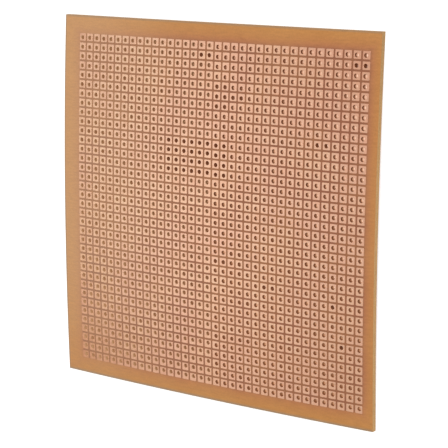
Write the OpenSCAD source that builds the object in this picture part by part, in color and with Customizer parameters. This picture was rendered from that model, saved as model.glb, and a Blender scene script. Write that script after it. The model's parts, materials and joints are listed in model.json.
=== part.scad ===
// Single-sided prototype board: a sheet of paper laminate with a square copper pad round every hole.
// Millimetres. +Z is up and the copper faces it, +X runs along the rows, and row 1 is the one at +Y.
// The origin is the middle of the outline, level with the four lower corners that the board rests on.

/* [Grid] */
// Holes in each row
columns = 36; // [12:1:48]
// Rows of holes, each with its own node of pads
rows = 36; // [12:1:48]
// Distance between neighbouring pads
pitch = 2.54; // [2.4:0.02:5.08]

/* [Board] */
// Thickness of the laminate
board_t = 1.5; // [0.8:0.1:3.2]
// Left edge to the middle of the first column
margin_left = 6.5; // [2.5:0.1:15]
// Right edge to the middle of the last column
margin_right = 3.9; // [2.5:0.1:15]
// Far edge (+Y) to the middle of the first row
margin_far = 5.8; // [2.5:0.1:15]
// Near edge (-Y) to the middle of the last row
margin_near = 5.3; // [2.5:0.1:15]

/* [Bow] */
// Rise of the bowed sheet's middle above the middle of each edge
bow = 1.3; // [0:0.1:3]
// Pads across each flat facet that the bow is made of
facet_pads = 3; // [2:1:9]

/* [Copper] */
// Clear strip of bare laminate between two pads
pad_gap = 0.51; // [0.4:0.01:0.8]
// Thickness of the copper foil
pad_t = 0.035; // [0.018:0.001:0.105]

/* [Punched holes] */
// Diameter of a lead hole
hole_d = 1.1; // [0.8:0.05:1.2]
// Columns that one stroke of the punch makes
punch_columns = 18; // [6:1:36]
// Turn of each stroke against the copper, in degrees
punch_turn = 0.22; // [0:0.01:0.3]
// Shortfall of the punched spacing against the copper's, in per cent
punch_short = 0.28; // [0:0.01:0.4]
// Offset of the punching to the right of the copper
punch_off_x = 0.04; // [0:0.01:0.08]
// Offset of the punching beyond the copper, towards +Y
punch_off_y = 0.02; // [0:0.01:0.08]
// Drop of each stroke below the one before
punch_drop = 0.1; // [0:0.01:0.16]

/* [Hidden] */
function pads_node(row) = str("pads_row_", row < 9 ? "0" : "", row + 1);

board_w = margin_left + (columns - 1) * pitch + margin_right;
board_d = margin_near + (rows - 1) * pitch + margin_far;
pad_side = pitch - pad_gap;
crown = board_t + 2 * bow;
strokes = ceil(columns / punch_columns);
punch_pitch = pitch * (1 - punch_short / 100);
cut_clear = 1;  // how far a cutting tool runs past the face it cuts
hole_fn = 32;

// Middle of a pad, by its column from the left and its row from the far edge
function pad_x(column) = -board_w / 2 + margin_left + column * pitch;
function pad_y(row) = board_d / 2 - margin_far - row * pitch;

// Middle of a punched hole while the sheet is still flat. Each stroke covers whole columns, is
// turned about its own middle and lies a little lower than the stroke to its left.
function hole(column, row) =
    let (
        stroke = floor(column / punch_columns),
        middle_column = (stroke + 0.5) * punch_columns - 0.5,
        middle_row = (rows - 1) / 2,
        x = (column - middle_column) * punch_pitch,
        y = (middle_row - row) * punch_pitch,
        drop = (stroke - (strokes - 1) / 2) * punch_drop
    )
    [
        pad_x(middle_column) + punch_off_x + x * cos(punch_turn) - y * sin(punch_turn),
        pad_y(middle_row) + punch_off_y - drop + x * sin(punch_turn) + y * cos(punch_turn)
    ];

// The bow comes after the punching, so a hole keeps its place on its pad and runs square to the sheet
function off_pad(column, row) = hole(column, row) - [pad_x(column), pad_y(row)];

// The bow is a sum of two shallow curves, one along X and one along Y, each drawn as straight
// stretches that change direction between pads. So every facet is a true plane and no pad is bent.
// Heights are rounded to a ten-thousandth of a millimetre, which keeps a facet's corners in one plane.
function rise(place, span) = round(bow * (1 - pow(2 * place / span, 2)) * 10000) / 10000;
function facet_starts(count) = [for (n = [0 : facet_pads : count - 1]) n];
x_lines = concat(
    [-board_w / 2],
    [for (n = facet_starts(columns)) pad_x(n - 0.5)],
    [pad_x(columns - 0.5), board_w / 2]
);
y_lines = concat(
    [board_d / 2],
    [for (n = facet_starts(rows)) pad_y(n - 0.5)],
    [pad_y(rows - 0.5), -board_d / 2]
);

// The stretch that holds a pad, as the places of its two ends
function x_stretch(column) =
    let (n = floor(column / facet_pads) + 1) [x_lines[n], x_lines[n + 1]];
function y_stretch(row) =
    let (n = floor(row / facet_pads) + 1) [y_lines[n], y_lines[n + 1]];
function slope(ends, span) = (rise(ends[1], span) - rise(ends[0], span)) / (ends[1] - ends[0]);
function level(ends, span, place) = rise(ends[0], span) + (place - ends[0]) * slope(ends, span);

// Stands its children on the sheet at a pad's middle, square to the facet under it
module on_sheet(column, row) {
    x = pad_x(column);
    y = pad_y(row);
    across = x_stretch(column);
    along = y_stretch(row);
    lean_x = -atan(slope(across, board_w));
    lean_y = atan(slope(along, board_d) * cos(lean_x));
    height = board_t + level(across, board_w, x) + level(along, board_d, y);
    translate([x, y, height])
    rotate([lean_y, lean_x, 0])
        children();
}

// The bowed sheet before punching: an upper and a lower skin of facets, closed round the edge
module sheet() {
    columns_of_points = len(x_lines);
    rows_of_points = len(y_lines);
    last_i = columns_of_points - 1;
    last_j = rows_of_points - 1;
    function at(i, j, upper) = (upper * rows_of_points + j) * columns_of_points + i;
    points = [
        for (upper = [0, 1], y = y_lines, x = x_lines)
            [x, y, rise(x, board_w) + rise(y, board_d) + upper * board_t]
    ];
    skins = [
        for (j = [0 : last_j - 1], i = [0 : last_i - 1]) each [
            [at(i, j, 1), at(i + 1, j, 1), at(i + 1, j + 1, 1), at(i, j + 1, 1)],
            [at(i, j, 0), at(i, j + 1, 0), at(i + 1, j + 1, 0), at(i + 1, j, 0)]
        ]
    ];
    x_edges = [
        for (i = [0 : last_i - 1]) each [
            [at(i, 0, 0), at(i + 1, 0, 0), at(i + 1, 0, 1), at(i, 0, 1)],
            [at(i + 1, last_j, 0), at(i, last_j, 0), at(i, last_j, 1), at(i + 1, last_j, 1)]
        ]
    ];
    y_edges = [
        for (j = [0 : last_j - 1]) each [
            [at(0, j + 1, 0), at(0, j, 0), at(0, j, 1), at(0, j + 1, 1)],
            [at(last_i, j, 0), at(last_i, j + 1, 0), at(last_i, j + 1, 1), at(last_i, j, 1)]
        ]
    ];
    polyhedron(points, concat(skins, x_edges, y_edges), convexity = 4);
}

// The block that the sheet's outline is sawn to
module blank() {
    translate([-board_w / 2, -board_d / 2, -cut_clear])
        cube([board_w, board_d, crown + 2 * cut_clear]);
}

// One square of foil, its hole punched where the laminate's is
module pad(column, row) {
    linear_extrude(pad_t)
    difference() {
        square(pad_side, center = true);
        translate(off_pad(column, row))
            circle(d = hole_d, $fn = hole_fn);
    }
}

module laminate() {
    color([0.74, 0.53, 0.33])
    difference() {
        intersection() {
            sheet();
            blank();
        }
        for (row = [0 : rows - 1], column = [0 : columns - 1])
            on_sheet(column, row)
            translate(off_pad(column, row))
            translate([0, 0, -board_t - cut_clear])
                cylinder(d = hole_d, h = board_t + 2 * cut_clear, $fn = hole_fn);
    }
}

module pads_row(row) {
    color([0.93, 0.73, 0.59])
    for (column = [0 : columns - 1])
        on_sheet(column, row)
            pad(column, row);
}

laminate();
for (row = [0 : rows - 1])
    pads_row(row);
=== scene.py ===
import json
import math
import random

import bpy
from mathutils import Matrix, Vector


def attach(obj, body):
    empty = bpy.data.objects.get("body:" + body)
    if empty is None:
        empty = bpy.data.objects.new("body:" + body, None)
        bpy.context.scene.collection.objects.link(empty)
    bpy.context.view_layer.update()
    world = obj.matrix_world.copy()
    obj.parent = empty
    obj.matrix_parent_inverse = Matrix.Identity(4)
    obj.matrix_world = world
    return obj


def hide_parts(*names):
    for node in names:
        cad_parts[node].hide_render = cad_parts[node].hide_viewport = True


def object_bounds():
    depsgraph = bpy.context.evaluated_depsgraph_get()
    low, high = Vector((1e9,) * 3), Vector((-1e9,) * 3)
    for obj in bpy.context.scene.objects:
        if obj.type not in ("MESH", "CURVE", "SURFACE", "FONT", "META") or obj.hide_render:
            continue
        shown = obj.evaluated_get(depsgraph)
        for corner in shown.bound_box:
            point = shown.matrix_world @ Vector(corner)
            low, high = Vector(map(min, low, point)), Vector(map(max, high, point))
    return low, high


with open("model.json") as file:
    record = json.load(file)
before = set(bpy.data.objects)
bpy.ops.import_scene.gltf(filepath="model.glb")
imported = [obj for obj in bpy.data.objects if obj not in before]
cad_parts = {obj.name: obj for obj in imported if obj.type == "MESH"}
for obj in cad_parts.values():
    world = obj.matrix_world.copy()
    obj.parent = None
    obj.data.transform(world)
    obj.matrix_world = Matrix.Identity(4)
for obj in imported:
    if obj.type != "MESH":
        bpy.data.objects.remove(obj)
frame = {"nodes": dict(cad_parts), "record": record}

cad_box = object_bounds()
MM = 0.001

# The board's sizes in millimetres. The outline, the sheet and the holes come from the frame, and the
# rest repeats the part's source, because the record doesn't hold it.
BOARD_W, BOARD_D = (round((high - low) / MM, 3) for low, high in zip(cad_box[0].xy, cad_box[1].xy))
LEAD_HOLE = next(mount["dims"] for mount in frame["record"]["mounts"] if mount["name"] == "lead_hole")
BOARD_T, HOLE_R = LEAD_HOLE["length_mm"], LEAD_HOLE["r_mm"]
COLUMNS = ROWS = 36
PITCH = 2.54
MARGIN_LEFT, MARGIN_FAR = 6.5, 5.8
PAD_SIDE = 2.03
PAD_T = 0.035
# From its ends to its middle the sheet rises by the bow, over its width and again over its depth, in
# flat facets a few pads wide.
BOW = 1.3
FACET_PADS = 3
# The holes were punched in strokes of some columns each. A stroke is turned against the copper, short
# in its spacing by a small share and off the middle, and each lies nearer than the one to its left.
PUNCH_COLUMNS = 18
PUNCH_TURN = math.radians(0.22)
PUNCH_SHORT = 0.0028
PUNCH_OFF = (0.04, 0.02)
PUNCH_DROP = 0.1

# Starts the random draws that set the pads apart
SEED = 36


def pad_x(column):
    return -BOARD_W / 2 + MARGIN_LEFT + column * PITCH


def pad_y(row):
    return BOARD_D / 2 - MARGIN_FAR - row * PITCH


FIELD_X = (pad_x(0) + pad_x(COLUMNS - 1)) / 2
FIELD_Y = (pad_y(0) + pad_y(ROWS - 1)) / 2
FIELD_HALF = (COLUMNS - 1) * PITCH / 2 + PAD_SIDE / 2


# ---------------------------------------------------------------- materials
# Places in them are millimetres from the board's middle: +X to its right side, +Y to its far side.

WHITE = (1.0, 1.0, 1.0, 1.0)


def srgb(red, green, blue):
    """A colour read as 0 to 255 per channel, as the linear RGBA that a shader takes."""
    def linear(v):
        v /= 255
        return v / 12.92 if v <= 0.04045 else ((v + 0.055) / 1.055) ** 2.4
    return (linear(red), linear(green), linear(blue), 1.0)


class Shade:
    """Adds nodes to one material and gives back their output sockets."""

    # where a Mix node that mixes colours has its two inputs and its result
    MIX_A, MIX_B, MIX_RESULT = 6, 7, 2

    def __init__(self, name):
        self.material = bpy.data.materials.new(name)
        self.material.use_nodes = True
        self.tree = self.material.node_tree
        self.tree.nodes.clear()
        metres = self.add("TexCoord", out="Object")
        self.place = self.vector("MULTIPLY", metres, (1 / MM, 1 / MM, 1 / MM))
        self.x, self.y, self.z = self.parts(self.place)

    def wire(self, socket, value):
        if isinstance(value, bpy.types.NodeSocket):
            self.tree.links.new(value, socket)
        else:
            socket.default_value = value

    def add(self, kind, *values, out=0, **settings):
        node = self.tree.nodes.new("ShaderNode" + kind)
        for name, value in settings.items():
            setattr(node, name, value)
        for socket, value in zip(node.inputs, values):
            self.wire(socket, value)
        return node.outputs[out]

    def math(self, operation, *values):
        return self.add("Math", *values, operation=operation)

    def vector(self, operation, a, b):
        return self.add("VectorMath", a, b, operation=operation)

    def parts(self, vector):
        node = self.tree.nodes.new("ShaderNodeSeparateXYZ")
        self.wire(node.inputs[0], vector)
        return node.outputs

    def span(self, value, low, high, out_low=0.0, out_high=1.0):
        """value from low..high, eased to out_low..out_high."""
        return self.add("MapRange", value, low, high, out_low, out_high,
                        interpolation_type="SMOOTHSTEP")

    def mix(self, factor, a, b, blend="MIX"):
        node = self.tree.nodes.new("ShaderNodeMix")
        node.data_type = "RGBA"
        node.blend_type = blend
        self.wire(node.inputs[0], factor)
        self.wire(node.inputs[self.MIX_A], a)
        self.wire(node.inputs[self.MIX_B], b)
        return node.outputs[self.MIX_RESULT]

    def ramp(self, value, *stops):
        node = self.tree.nodes.new("ShaderNodeValToRGB")
        elements = node.color_ramp.elements
        while len(elements) < len(stops):
            elements.new(0.5)
        for element, (place, colour) in zip(elements, stops):
            element.position = place
            element.color = colour
        self.wire(node.inputs[0], value)
        return node.outputs[0]

    def noise(self, scale, detail=3.0, rough=0.55, stretch=(1, 1, 1), offset=(0, 0, 0)):
        """Noise about 0.5, its scale in cycles per millimetre."""
        place = self.vector("MULTIPLY", self.place, stretch)
        node = self.tree.nodes.new("ShaderNodeTexNoise")
        self.wire(node.inputs["Vector"], self.vector("ADD", place, offset))
        node.inputs["Scale"].default_value = scale
        node.inputs["Detail"].default_value = detail
        node.inputs["Roughness"].default_value = rough
        return node.outputs[0]

    def bump(self, height, distance):
        """A normal for a relief where a height of 1 stands distance millimetres proud."""
        node = self.tree.nodes.new("ShaderNodeBump")
        node.inputs["Strength"].default_value = 1.0
        node.inputs["Distance"].default_value = distance * MM
        self.wire(node.inputs["Height"], height)
        return node.outputs[0]

    def principled(self, **sockets):
        node = self.tree.nodes.new("ShaderNodeBsdfPrincipled")
        for name, value in sockets.items():
            self.wire(node.inputs[name.replace("_", " ")], value)
        return node.outputs[0]

    def finish(self, shader):
        node = self.tree.nodes.new("ShaderNodeOutputMaterial")
        self.wire(node.inputs["Surface"], shader)
        return self.material


def over_pads(s, x, y, first_column, last_column, first_row, last_row):
    """1 over the cells of a block of pads and 0 elsewhere."""
    return s.math(
        "MULTIPLY",
        s.math("COMPARE", x, (pad_x(first_column) + pad_x(last_column)) / 2,
               (last_column - first_column + 1) * PITCH / 2),
        s.math("COMPARE", y, (pad_y(first_row) + pad_y(last_row)) / 2,
               (last_row - first_row + 1) * PITCH / 2),
    )


def sheet_top(s):
    """How high the bowed sheet's upper face lies above each place on the floor."""
    dome_x = s.math("POWER", s.math("MULTIPLY", s.x, 2 / BOARD_W), 2.0)
    dome_y = s.math("POWER", s.math("MULTIPLY", s.y, 2 / BOARD_D), 2.0)
    return s.math("MULTIPLY_ADD", s.math("ADD", dome_x, dome_y), -BOW, BOARD_T + 2 * BOW)


def paper_grain(s):
    """The mottling of resin-soaked paper: fibres along X, and specks."""
    fibres = s.noise(1.1, 4.0, 0.65, stretch=(0.35, 1.6, 1.0))
    specks = s.noise(2.6, 2.0, 0.5, offset=(31, 7, 3))
    return s.math("ADD", s.math("MULTIPLY", fibres, 0.6), s.math("MULTIPLY", specks, 0.4))


def face_colour(s, paper):
    """The flat faces: brown where the resist lay between the pads, golden in the bare margins."""
    off_middle_x = s.math("ABSOLUTE", s.math("SUBTRACT", s.x, FIELD_X))
    off_middle_y = s.math("ABSOLUTE", s.math("SUBTRACT", s.y, FIELD_Y))
    outside_field = s.math("SUBTRACT", s.math("MAXIMUM", off_middle_x, off_middle_y), FIELD_HALF)
    golden = s.math("ADD", s.span(s.y, -42, -46, 0.0, 0.15), s.span(s.x, -10, -45, 0.0, 0.15))
    margin = s.ramp(
        s.math("MULTIPLY_ADD", outside_field, 0.25, golden),
        (0.00, srgb(158, 98, 64)),
        (0.22, srgb(176, 111, 64)),
        (0.45, srgb(182, 119, 62)),
        (0.90, srgb(186, 125, 61)),
    )
    gap = s.mix(s.span(s.x, -45, 45), srgb(152, 96, 60), srgb(142, 84, 54))
    face = s.mix(s.span(outside_field, -0.3, 0.15), gap, margin)
    clouds = s.noise(0.07, 3.0, 0.6)
    face = s.mix(s.span(clouds, 0.35, 0.7, 0.0, 0.2), face, srgb(192, 139, 78))

    # a painted veil of light, paler towards the far left corner
    light_veil = s.math("MULTIPLY", s.span(s.x, -5, -40), s.span(s.y, -60, -15))
    light_veil = s.math("MULTIPLY", light_veil, s.span(outside_field, -0.3, 0.15, 0.12, 0.3))
    face = s.mix(light_veil, face, srgb(206, 166, 124))

    # a fine grey line along three sawn edges, strongest at the near one
    from_near = s.math("ADD", s.y, BOARD_D / 2)
    from_left = s.math("ADD", s.x, BOARD_W / 2)
    from_far = s.math("SUBTRACT", BOARD_D / 2, s.y)
    near_rim = s.span(from_near, 0.9, 0.1, 0.0, 0.9)
    other_rims = s.span(s.math("MINIMUM", from_left, from_far), 0.7, 0.1, 0.0, 0.7)
    face = s.mix(s.math("MAXIMUM", near_rim, other_rims), face, srgb(152, 124, 92))

    mottling = s.ramp(paper, (0.3, (0.87, 0.86, 0.84, 1)), (0.7, (1.12, 1.12, 1.12, 1)))
    return s.mix(1.0, face, mottling, blend="MULTIPLY")


def sawn_grain(s):
    """The sheets of paper, which show as fine lines along the sawn edges, crossed by saw marks."""
    layers = s.noise(1.0, 3.0, 0.6, stretch=(0.35, 0.35, 9.0))
    saw = s.noise(1.0, 2.0, 0.6, stretch=(3.5, 3.5, 0.5), offset=(5, 5, 5))
    return s.math("ADD", s.math("MULTIPLY", layers, 0.65), s.math("MULTIPLY", saw, 0.35))


def sawn_colour(s, grain):
    """The sawn edges: pale, and darker at the far end."""
    sawn = s.ramp(grain, (0.35, srgb(182, 138, 84)), (0.65, srgb(210, 167, 112)))
    return s.mix(s.span(s.y, 15, 45, 0.0, 0.4), sawn, srgb(160, 122, 76))


# A block of holes is its first and last column and its first and last row, counted from 0. The
# listed holes get painted shade by the share that follows: darker walls and less painted glow. The
# floor behind the first block gets a painted shadow as well.
DARK_BEHIND_HOLES = (34, 35, 1, 1)
SHADED_HOLES = [
    (*DARK_BEHIND_HOLES, 1.0),
    (16, 17, 1, 1, 1.0),
    (18, 19, 4, 6, 0.5),
    (20, 21, 5, 5, 0.6),
    (30, 31, 9, 9, 0.8),
    (12, 17, 10, 13, 0.8),
    (18, 19, 10, 13, 0.9),
    (18, 19, 22, 22, 0.5),
    (24, 25, 24, 24, 0.6),
    (32, 32, 25, 25, 0.8),
    (33, 33, 29, 29, 1.0),
    (18, 22, 30, 30, 0.3),
]


def hole_depth(s):
    """How far down its hole a place on a wall lies, from 0 at the top to 1 at the bottom, raggedly."""
    depth = s.math("DIVIDE", s.math("SUBTRACT", sheet_top(s), s.z), BOARD_T)
    ragged = s.math("MULTIPLY", s.math("SUBTRACT", s.noise(2.2, 3.0), 0.5), 0.3)
    return s.math("ADD", depth, ragged)


def hole_dimming(s):
    """How far each hole's walls and painted glow are dimmed, 0 to 1: a little at random, or as listed.
    """
    corner = s.vector("SUBTRACT", s.place, (pad_x(-0.5), pad_y(-0.5), 0))
    cell = s.add("TexWhiteNoise", s.vector("SNAP", corner, (PITCH, PITCH, 100)))
    dimmed = s.span(cell, 0.4, 1.0, 0.0, 0.22)
    # the listed holes get painted shade
    for *block, share in SHADED_HOLES:
        listed = s.math("MULTIPLY", over_pads(s, s.x, s.y, *block), share)
        dimmed = s.math("MAXIMUM", dimmed, listed)
    return dimmed


def mouth_glow(s, depth, second_stroke):
    """How far the mouths are lit up with painted light: evenly on the left, where the first stroke of
    the punch fell, and near two corners of the board on each hole's far side."""
    mouth = s.span(depth, 0.4, 0.05)
    off_pad = s.math("FLOORED_MODULO", s.math("SUBTRACT", s.y, pad_y(ROWS - 0.5)), PITCH)
    far_side = s.span(s.math("SUBTRACT", off_pad, PITCH / 2), -0.1, 0.3)
    far_left = s.math("MULTIPLY", s.span(s.x, 10, -35), s.span(s.y, 10, 40))
    near_right = s.math("MULTIPLY", s.span(s.x, 0, 40, 0.0, 0.8), s.span(s.y, -10, -35))
    at_corners = s.math("MULTIPLY", s.math("MAXIMUM", far_left, near_right), far_side)
    on_left = s.math("MULTIPLY", s.math("SUBTRACT", 1.0, second_stroke), 0.6)
    return s.math("MULTIPLY", mouth, s.math("MAXIMUM", at_corners, on_left))


def wall_glow(s, depth, torn, dimmed):
    """Painted glow that stands for light from behind shining through the hole walls: evenly on the
    left, and mostly through the torn part on the right."""
    second_stroke = s.math("GREATER_THAN", s.x, pad_x(PUNCH_COLUMNS - 0.5))
    nearer = s.span(s.y, 20, -45)
    left = s.mix(nearer, srgb(106, 78, 50), srgb(147, 115, 81))
    middle = s.mix(nearer, srgb(52, 30, 18), srgb(90, 60, 36))
    right = s.mix(nearer, srgb(56, 32, 20), srgb(82, 50, 30))
    sheared = s.mix(s.span(s.x, -45, 0), left, middle)
    sheared = s.mix(second_stroke, sheared, right)

    torn_near = s.mix(s.span(s.x, 5, 35), srgb(170, 134, 102), srgb(154, 119, 90))
    torn_right = s.mix(s.span(s.y, -35, 0), torn_near, srgb(150, 116, 88))
    torn_right = s.mix(s.span(s.y, -10, 45), torn_right, srgb(180, 144, 120))
    torn_glow = s.mix(second_stroke, srgb(146, 118, 93), torn_right)

    glow = s.mix(torn, sheared, torn_glow)
    # painted light at the mouths of the holes
    glow = s.mix(mouth_glow(s, depth, second_stroke), glow, srgb(165, 138, 104))
    # less of the painted glow in dimmed holes
    return s.mix(dimmed, glow, srgb(108, 60, 32))


def laminate_material():
    """Phenolic paper: satin tan faces, pale sawn edges, and hole walls with a painted glow of light."""
    s = Shade("phenolic_paper")
    paper = paper_grain(s)
    face = face_colour(s, paper)
    grain = sawn_grain(s)

    # hole walls are sheared smooth and brown at the top, torn and paler further down: partly torn paper,
    # partly painted light from below
    depth = hole_depth(s)
    dimmed = hole_dimming(s)
    torn = s.math("MULTIPLY", s.span(depth, 0.5, 0.72), s.math("SUBTRACT", 1.0, dimmed))
    wall = s.mix(torn, srgb(130, 84, 54), srgb(190, 142, 106))
    # darker walls in dimmed holes: a little random tone, and painted shade in the listed ones
    wall = s.mix(dimmed, wall, srgb(122, 74, 46))

    normal = s.parts(s.add("NewGeometry", out="True Normal"))
    upright = s.span(s.math("ABSOLUTE", normal[2]), 0.7, 0.3)
    from_ends = s.math("SUBTRACT", BOARD_D / 2, s.math("ABSOLUTE", s.y))
    from_sides = s.math("SUBTRACT", BOARD_W / 2, s.math("ABSOLUTE", s.x))
    outside = s.span(s.math("MINIMUM", from_ends, from_sides), 0.3, 0.1)
    in_hole = s.math("MULTIPLY", upright, s.math("SUBTRACT", 1.0, outside))

    colour = s.mix(upright, face, s.mix(outside, wall, sawn_colour(s, grain)))
    rough = s.math("ADD", s.span(paper, 0.3, 0.7, 0.36, 0.5), s.math("MULTIPLY", upright, 0.38))
    sawn_relief = s.math("MULTIPLY", s.math("MULTIPLY", grain, 6.0), upright)
    shader = s.principled(
        Base_Color=colour,
        Roughness=rough,
        Normal=s.bump(s.math("ADD", paper, sawn_relief), distance=0.01),
        # the painted glow in the hole walls, which stands for light from behind
        Emission_Color=wall_glow(s, depth, torn, dimmed),
        Emission_Strength=s.math("MULTIPLY", in_hole, s.span(dimmed, 0, 1, 1.0, 0.4)),
    )
    return s.finish(shader)


# Where the foil is brightest
BRIGHT_X, BRIGHT_Y = 10.0, 3.0


def darkening_from_bright_place(s):
    """How far the foil is darkened and reddened: least right of the middle, most in the near left
    corner.
    """
    u = s.math("MULTIPLY", s.math("SUBTRACT", s.x, BRIGHT_X), 2 / BOARD_W)
    v = s.math("MULTIPLY", s.math("SUBTRACT", s.y, BRIGHT_Y), 2 / BOARD_D)
    across = s.math("MULTIPLY", s.math("MULTIPLY", u, u), 0.27)
    along = s.math("MULTIPLY", s.math("MULTIPLY", v, v), 0.18)
    slanting = s.math("MULTIPLY", s.math("MULTIPLY", u, v), 0.13)
    return s.math("ADD", s.math("ADD", across, along), slanting)


def copper_material():
    """Bare etched foil: pale satin copper, unevenly darkened, with fine rolling marks."""
    s = Shade("etched_copper")
    tone = s.add("Attribute", out="Fac", attribute_name="tone")
    clouds = s.noise(0.06, 3.0, 0.6, offset=(3, 9, 0))
    stain = s.noise(1.3, 4.0, 0.65)
    rolled = s.noise(1.0, 3.0, 0.6, stretch=(0.8, 14.0, 1.0))
    colour = s.mix(s.span(clouds, 0.3, 0.7), srgb(250, 200, 172), srgb(252, 206, 172))
    colour = s.mix(s.span(stain, 0.45, 0.75, 0.0, 0.35), colour, srgb(236, 170, 134))
    colour = s.mix(s.math("MULTIPLY", tone, 0.3), colour, srgb(240, 180, 150))
    colour = s.mix(s.span(rolled, 0.35, 0.65, 0.0, 0.12), colour, srgb(255, 226, 204))
    # darker and redder with distance from the foil's brightest place
    colour = s.mix(darkening_from_bright_place(s), colour, (0.5, 0.21, 0.03, 1), blend="MULTIPLY")
    colour = s.mix(s.span(s.x, 10, -45), colour, (0.86, 0.95, 0.96, 1), blend="MULTIPLY")
    rough = s.math("ADD", s.span(stain, 0.3, 0.7, 0.36, 0.5), s.math("MULTIPLY", rolled, 0.06))
    height = s.math("ADD", rolled, s.math("MULTIPLY", stain, 0.8))
    shader = s.principled(Base_Color=colour, Metallic=1.0, Roughness=rough,
                          Normal=s.bump(height, distance=0.003))
    return s.finish(shader)


# Light that falls through a hole lands this far to the left, and this far nearer, for each
# millimetre of fall
LEAN_X, LEAN_Y = 0.62, 0.2
# The last row, counted from 0, whose holes throw a spot
LAST_OPEN_ROW = 26


def floor_glow(s):
    """The floor's own light: half white in the open, and painted dim shade under the board, where the
    holes of the right half throw painted warm spots of light, on the side away from the key lamp."""
    fall = s.math("SUBTRACT", sheet_top(s), BOARD_T / 2)
    x = s.math("MULTIPLY_ADD", fall, LEAN_X, s.x)
    y = s.math("MULTIPLY_ADD", fall, LEAN_Y, s.y)
    off_x = s.math("PINGPONG", s.math("SUBTRACT", x, pad_x(0)), PITCH / 2)
    off_y = s.math("PINGPONG", s.math("SUBTRACT", y, pad_y(0)), PITCH / 2)
    spot = s.math("MULTIPLY", s.span(off_x, 0.65, 0.5), s.span(off_y, 0.75, 0.6))
    open_holes = over_pads(s, x, y, PUNCH_COLUMNS, COLUMNS - 1, 0, LAST_OPEN_ROW)
    reach = s.math("MAXIMUM", s.math("ABSOLUTE", s.x), s.math("ABSOLUTE", s.y))
    # painted dim shade on the floor under the board
    glow = s.mix(s.span(reach, 49, 42), (0.5, 0.5, 0.5, 1), (0.26, 0.19, 0.15, 1))
    # painted warm spots of light behind the open holes
    glow = s.mix(s.math("MULTIPLY", spot, open_holes), glow, (0.84, 0.54, 0.39, 1))
    # a painted shadow on the floor behind the first listed holes
    return s.mix(over_pads(s, x, y, *DARK_BEHIND_HOLES), glow, (0.1, 0.03, 0.015, 1))


def floor_material():
    """White paper. Seen directly it is lifted to white, or under the board to its painted shade and
    warm spots, and it keeps the board's shadow.
    """
    s = Shade("white_paper")
    rays = s.tree.nodes.new("ShaderNodeLightPath").outputs
    mirrored = s.math("MAXIMUM", rays["Is Glossy Ray"], rays["Is Transmission Ray"])
    seen = s.math("MAXIMUM", rays["Is Camera Ray"], mirrored)
    paper = s.principled(Base_Color=(0.8, 0.8, 0.8, 1), Roughness=0.9,
                         Normal=s.bump(s.noise(1.5), distance=0.01))
    return s.finish(s.add("AddShader", paper, s.add("Emission", floor_glow(s), seen)))


# ---------------------------------------------------------------- copper pads

# Points along each round corner and each straight side of a pad, and round the whole of it
CORNER_STEPS, SIDE_STEPS = 3, 2
AROUND = 4 * (CORNER_STEPS + 1 + SIDE_STEPS)
# A pad's corner radius, and how much larger it may be
CORNER_R, CORNER_SPREAD = 0.16, 0.05
# The eased outer edge: how far it is drawn in and down
EASE_IN, EASE_DOWN = 0.015, 0.012
# The rim that the punch drew down into the hole: how far outside the hole's edge it starts and where
# it turns steep, and how far down it is there
RIM_OUT, RIM_STEEP, RIM_DOWN = 0.045, 0.012, 0.01


def hole_offset(column, row):
    """The punched hole's place on its pad, in millimetres from the pad's middle."""
    stroke = column // PUNCH_COLUMNS
    middle_column = (stroke + 0.5) * PUNCH_COLUMNS - 0.5
    middle_row = (ROWS - 1) / 2
    spacing = PITCH * (1 - PUNCH_SHORT)
    x = (column - middle_column) * spacing
    y = (middle_row - row) * spacing
    strokes = math.ceil(COLUMNS / PUNCH_COLUMNS)
    drop = (stroke - (strokes - 1) / 2) * PUNCH_DROP
    c, n = math.cos(PUNCH_TURN), math.sin(PUNCH_TURN)
    return (
        pad_x(middle_column) + PUNCH_OFF[0] + x * c - y * n - pad_x(column),
        pad_y(middle_row) + PUNCH_OFF[1] - drop + x * n + y * c - pad_y(row),
    )


def on_curve(place, index, span):
    """Slope and height, under a row or column of pads, of the bow that runs over span. place gives
    a pad's coordinate, and the heights at a facet's ends are rounded as in the part's source."""
    first = index // FACET_PADS * FACET_PADS
    ends = place(first - 0.5), place(first + FACET_PADS - 0.5)
    low, high = (round(BOW * (1 - (2 * end / span) ** 2), 4) for end in ends)
    slope = (high - low) / (ends[1] - ends[0])
    return slope, low + (place(index) - ends[0]) * slope


def on_sheet(column, row):
    """The frame of the facet under a pad: its origin on the laminate, its Z square to it."""
    slope_x, height_x = on_curve(pad_x, column, BOARD_W)
    slope_y, height_y = on_curve(pad_y, row, BOARD_D)
    lean_x = -math.atan(slope_x)
    lean_y = math.atan(slope_y * math.cos(lean_x))
    turn = Matrix.Rotation(lean_x, 4, "Y") @ Matrix.Rotation(lean_y, 4, "X")
    return Matrix.Translation((pad_x(column), pad_y(row), BOARD_T + height_x + height_y)) @ turn


def rounded_square(side, radius):
    """Points round a square with round corners, anticlockwise from the middle of the +X side."""
    points = []
    half, flat = side / 2, side / 2 - radius
    for c, n in ((1, 0), (0, 1), (-1, 0), (0, -1)):
        quarter = []
        for step in range(CORNER_STEPS + 1):
            a = math.pi / 2 * step / CORNER_STEPS
            quarter.append((flat + radius * math.cos(a), flat + radius * math.sin(a)))
        for step in range(1, SIDE_STEPS + 1):
            quarter.append((flat - 2 * flat * step / (SIDE_STEPS + 1), half))
        points += [(x * c - y * n, x * n + y * c) for x, y in quarter]
    return points


def circle(centre, radius, height):
    """As many points round a hole as round a pad, turned to face the pad's corners."""
    first = math.pi / 4 - math.pi * 2 / AROUND * CORNER_STEPS / 2
    angles = [first + 2 * math.pi * n / AROUND for n in range(AROUND)]
    return [(centre[0] + radius * math.cos(a), centre[1] + radius * math.sin(a), height) for a in angles]


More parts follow.
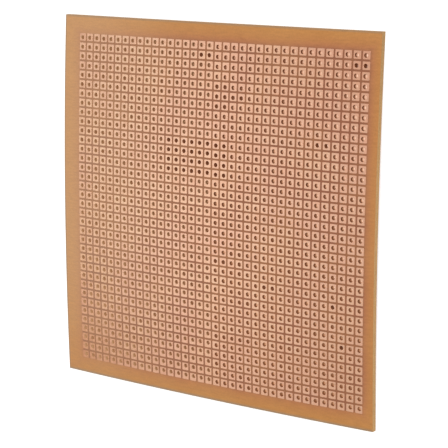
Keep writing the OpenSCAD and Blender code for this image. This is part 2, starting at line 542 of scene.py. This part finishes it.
def pad_loops(centre, corner):
    """The pad's section, from its lower outside edge over the top and down into the hole."""
    outer = rounded_square(PAD_SIDE, corner)
    inner = rounded_square(PAD_SIDE - 2 * EASE_IN, corner)
    return [
        [(x, y, 0.0) for x, y in outer],
        [(x, y, PAD_T - EASE_DOWN) for x, y in outer],
        [(x, y, PAD_T) for x, y in inner],
        circle(centre, HOLE_R + RIM_OUT, PAD_T),
        circle(centre, HOLE_R + RIM_STEEP, PAD_T - RIM_DOWN),
        circle(centre, HOLE_R, 0.0),
    ]


def copper_row(row, material, chance):
    """One row of pads as a single piece, standing for the CAD's row."""
    points, faces, tones = [], [], []
    for column in range(COLUMNS):
        place = on_sheet(column, row)
        corner = CORNER_R + CORNER_SPREAD * chance.random()
        loops = pad_loops(hole_offset(column, row), corner)
        base = len(points)
        for loop in loops:
            points += [MM * (place @ Vector(p)) for p in loop]
        for k in range(len(loops)):
            low, high = base + k * AROUND, base + (k + 1) % len(loops) * AROUND
            for n in range(AROUND):
                m = (n + 1) % AROUND
                faces.append((low + n, low + m, high + m, high + n))
        tones += [chance.random()] * (AROUND * len(loops))
    mesh = bpy.data.meshes.new(f"copper_row_{row + 1:02d}")
    mesh.from_pydata(points, [], faces)
    mesh.attributes.new("tone", "FLOAT", "POINT").data.foreach_set("value", tones)
    mesh.materials.append(material)
    piece = bpy.data.objects.new(mesh.name, mesh)
    bpy.context.scene.collection.objects.link(piece)
    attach(piece, "root")
    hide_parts(f"pads_row_{row + 1:02d}")


# ---------------------------------------------------------------- floor, light and camera

# The floor's half side and how far it lies under the board, in metres, and the world's strength
FLOOR_HALF = 3.0
FLOOR_DROP = 0.02 * MM
SKY_STRENGTH = 0.62

# The photo's camera, fitted to the 1296 pads: where it stands, the place on the floor that it points
# at, and how far it is turned about its line of sight from upright
CAMERA_PLACE = Vector((248.756, 79.229, 349.482)) * MM
CAMERA_TARGET = Vector((2.574, -2.538, 0.0)) * MM
CAMERA_ROLL = math.radians(-104.5436)
CAMERA_LENS, CAMERA_SENSOR = 133.45, 36.0


def add_floor():
    """A wide sheet of white paper, a hair under the board."""
    h = FLOOR_HALF
    mesh = bpy.data.meshes.new("floor")
    mesh.from_pydata([(-h, -h, 0), (h, -h, 0), (h, h, 0), (-h, h, 0)], [], [(0, 1, 2, 3)])
    mesh.materials.append(floor_material())
    floor = bpy.data.objects.new("floor", mesh)
    floor.location.z = -FLOOR_DROP
    bpy.context.scene.collection.objects.link(floor)


def add_sky():
    """An even white light from all round."""
    world = bpy.data.worlds.new("studio")
    world.use_nodes = True
    background = world.node_tree.nodes["Background"]
    background.inputs["Color"].default_value = WHITE
    background.inputs["Strength"].default_value = SKY_STRENGTH
    bpy.context.scene.world = world


def add_lamp(name, azimuth, elevation, distance, size, watts):
    """A square soft light that faces the board."""
    data = bpy.data.lights.new(name, "AREA")
    data.size = size
    data.energy = watts
    a, e = math.radians(azimuth), math.radians(elevation)
    place = Vector((math.cos(a) * math.cos(e), math.sin(a) * math.cos(e), math.sin(e))) * distance
    light = bpy.data.objects.new(name, data)
    light.location = place
    light.rotation_euler = place.to_track_quat("Z", "Y").to_euler()
    bpy.context.scene.collection.objects.link(light)


def add_camera():
    data = bpy.data.cameras.new("camera")
    data.lens, data.sensor_width = CAMERA_LENS, CAMERA_SENSOR
    data.clip_start, data.clip_end = 0.01, 20.0
    upright = (CAMERA_PLACE - CAMERA_TARGET).to_track_quat("Z", "Y").to_matrix().to_4x4()
    turn = upright @ Matrix.Rotation(CAMERA_ROLL, 4, "Z")
    camera = bpy.data.objects.new("camera", data)
    camera.matrix_world = Matrix.Translation(CAMERA_PLACE) @ turn
    bpy.context.scene.collection.objects.link(camera)
    bpy.context.scene.camera = camera


chance = random.Random(SEED)
copper = copper_material()
for row in range(ROWS):
    copper_row(row, copper, chance)

sheet = frame["nodes"]["laminate"]
sheet.data.materials.clear()
sheet.data.materials.append(laminate_material())

add_floor()
add_sky()
add_lamp("key", azimuth=40, elevation=55, distance=1.1, size=0.6, watts=5.6)
add_lamp("fill", azimuth=190, elevation=30, distance=1.2, size=0.8, watts=2.4)
add_camera()

bpy.context.scene.view_settings.view_transform = "Standard"
